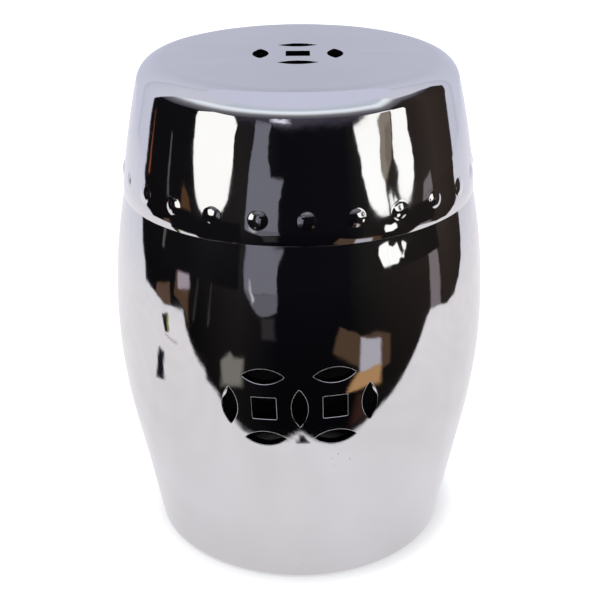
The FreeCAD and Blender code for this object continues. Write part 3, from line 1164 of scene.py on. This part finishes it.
# Black flags close to the stool keep the windows out of the barrel's upper edge; the right
# one is torn, with a white scrap behind the hole
TORN = [
    (36.1, 0.3349), (33.6, 0.332), (32.9, 0.3222), (34.5, 0.3109), (35.2, 0.3048), (39.4, 0.3027),
    (41, 0.3048), (42.4, 0.3037), (42.2, 0.3108), (43.4, 0.312), (45, 0.3107), (45.6, 0.316),
    (47, 0.3217), (47.3, 0.3259), (45.5, 0.33), (44, 0.327), (43, 0.3325), (40.9, 0.3325),
    (39, 0.336)]
wall_card("black_flag", [(-62, 0.29), (-62, 0.345), (-24, 0.345), (-24, 0.29)],
          (15, 14, 16), 0.002, 0.25, 0.004)
wall_card("black_flag_right", [(27, 0.302), (27, 0.345), (66, 0.345), (66, 0.302)],
          (26, 23, 23), 0.0007, 0.25, 0.0008, TORN)
wall_card("white_scrap", [
    (37.5, 0.331), (37.2, 0.318), (38.2, 0.306), (41.5, 0.306), (43.6, 0.313), (43.2, 0.322),
    (42.2, 0.331), (40.2, 0.327)], WINDOW, 0.0007, 0.252, 0.0008)


def floor_plane():
    # Plain white floor for the camera, with the stool's own soft shadow and a ring of painted shade
    # round the foot
    mesh = bpy.data.meshes.new("floor")
    far = 6.0
    mesh.from_pydata([(-far, -far, 0), (far, -far, 0), (far, far, 0), (-far, far, 0)], [],
                     [(0, 1, 2, 3)])
    material, nodes = node_material("floor_white")
    diffuse = add(nodes, "BsdfDiffuse", {"Color": (0.8, 0.8, 0.81, 1)})
    glow = add(nodes, "Emission")
    # From under the foot outwards the glow fades in by distance from the axis, to plain white a
    # little beyond the foot: painted shade round the foot, over the stool's real shadow
    reach = add(nodes, "VectorMath", operation="LENGTH")
    wire(add(nodes, "NewGeometry"), "Position", reach, 0)
    glow_past_painted_shade = mapped(reach, "Value", 0.115, 0.168, 0.0, 0.82)
    strength = add(nodes, "Math", operation="MULTIPLY")
    wire(glow_past_painted_shade, "Result", strength, 1)
    wire(add(nodes, "LightPath"), "Is Camera Ray", strength, 0)
    wire(strength, 0, glow, "Strength")
    both = add(nodes, "AddShader")
    wire(diffuse, 0, both, 0)
    wire(glow, 0, both, 1)
    wire(both, 0, add(nodes, "OutputMaterial"), "Surface")
    mesh.materials.append(material)
    floor = new_object("floor", mesh)
    floor.visible_glossy = False


floor_plane()

world = bpy.data.worlds.new("studio")
bpy.context.scene.world = world
world.use_nodes = True
nodes = world.node_tree.nodes
nodes.clear()
output = add(nodes, "OutputWorld")
plain = add(nodes, "Background", {"Color": (0.95, 0.96, 1.0, 1), "Strength": 0.55})
white = add(nodes, "Background", {"Color": (1, 1, 1, 1), "Strength": 1.0})
path = add(nodes, "LightPath")
seen_by = add(nodes, "Math", operation="MAXIMUM")
wire(path, "Is Camera Ray", seen_by, 0)
either = add(nodes, "Math", operation="MAXIMUM")
wire(path, "Is Glossy Ray", either, 0)
wire(path, "Is Transmission Ray", either, 1)
wire(either, 0, seen_by, 1)
mix = add(nodes, "MixShader")
wire(seen_by, 0, mix, "Fac")
wire(plain, 0, mix, 1)
wire(white, 0, mix, 2)
wire(mix, 0, output, "Surface")

lamp_data = bpy.data.lights.new("soft_top", "AREA")
lamp_data.shape = "DISK"
lamp_data.size = 1.6
lamp_data.energy = 22.0
lamp = new_object("soft_top", lamp_data)
lamp.location = (-0.35, -0.25, 2.3)
lamp.rotation_euler = (Vector((0, 0, 0.2)) - lamp.location).to_track_quat("-Z", "Y").to_euler()
lamp.visible_glossy = False

# Camera at the photograph's viewing angle
camera_data = bpy.data.cameras.new("camera")
camera_data.sensor_width = 36.0
camera_data.lens = 69.6
camera_data.shift_x = 0.00137
camera = new_object("camera", camera_data)
camera.matrix_world = (
    Matrix.Translation((0.0, -1.0086, 0.6911))
    @ Matrix.Rotation(math.radians(64.91), 4, "X")
    @ Matrix.Rotation(-0.0056, 4, "Z"))
bpy.context.scene.camera = camera

bpy.context.scene.view_settings.view_transform = "Standard"
